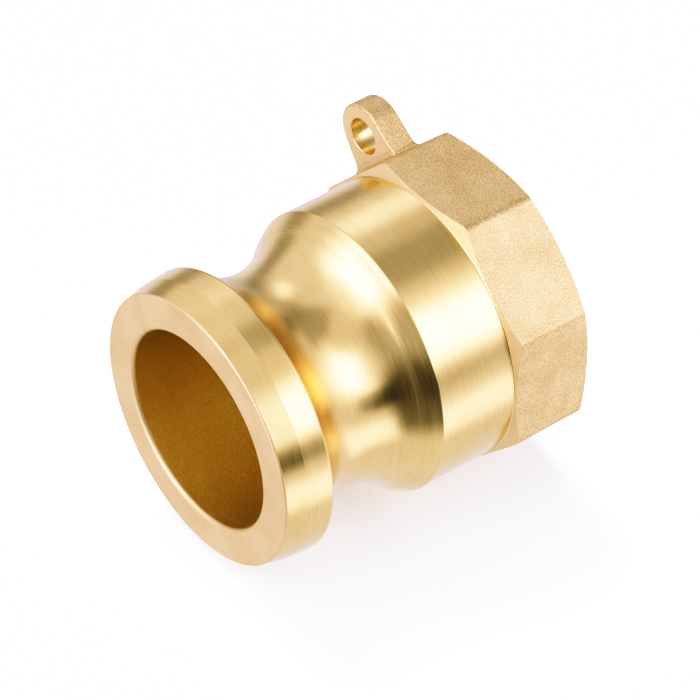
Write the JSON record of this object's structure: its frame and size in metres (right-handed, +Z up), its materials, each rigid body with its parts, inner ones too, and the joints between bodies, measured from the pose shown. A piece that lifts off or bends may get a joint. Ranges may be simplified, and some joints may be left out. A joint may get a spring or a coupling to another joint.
{
  "type": "cam and groove male adapter",
  "caption": "Brass cam and groove male adapter with a female pipe thread, an octagonal wrench body and a chain lug.",
  "frame": {"origin": "on the coupling axis, halfway along the plain barrel that locates in the coupler", "axes": "-Y points out of the nose, +Y out of the thread, +Z is up with the adapter lying on one flat of its octagon; the chain lug leans 45 degrees from up towards -X"},
  "size_m": [0.0563, 0.0646, 0.0563],
  "materials": {
    "brass": "satin turned on the nose, groove and barrel; fine sand-blasted forging on the octagon and lug",
    "gasket_rubber": "matt moulded rubber"
  },
  "bodies": {
    "root": {"adapter_body": "brass", "thread_gasket": "gasket_rubber"}
  },
  "joints": []
}
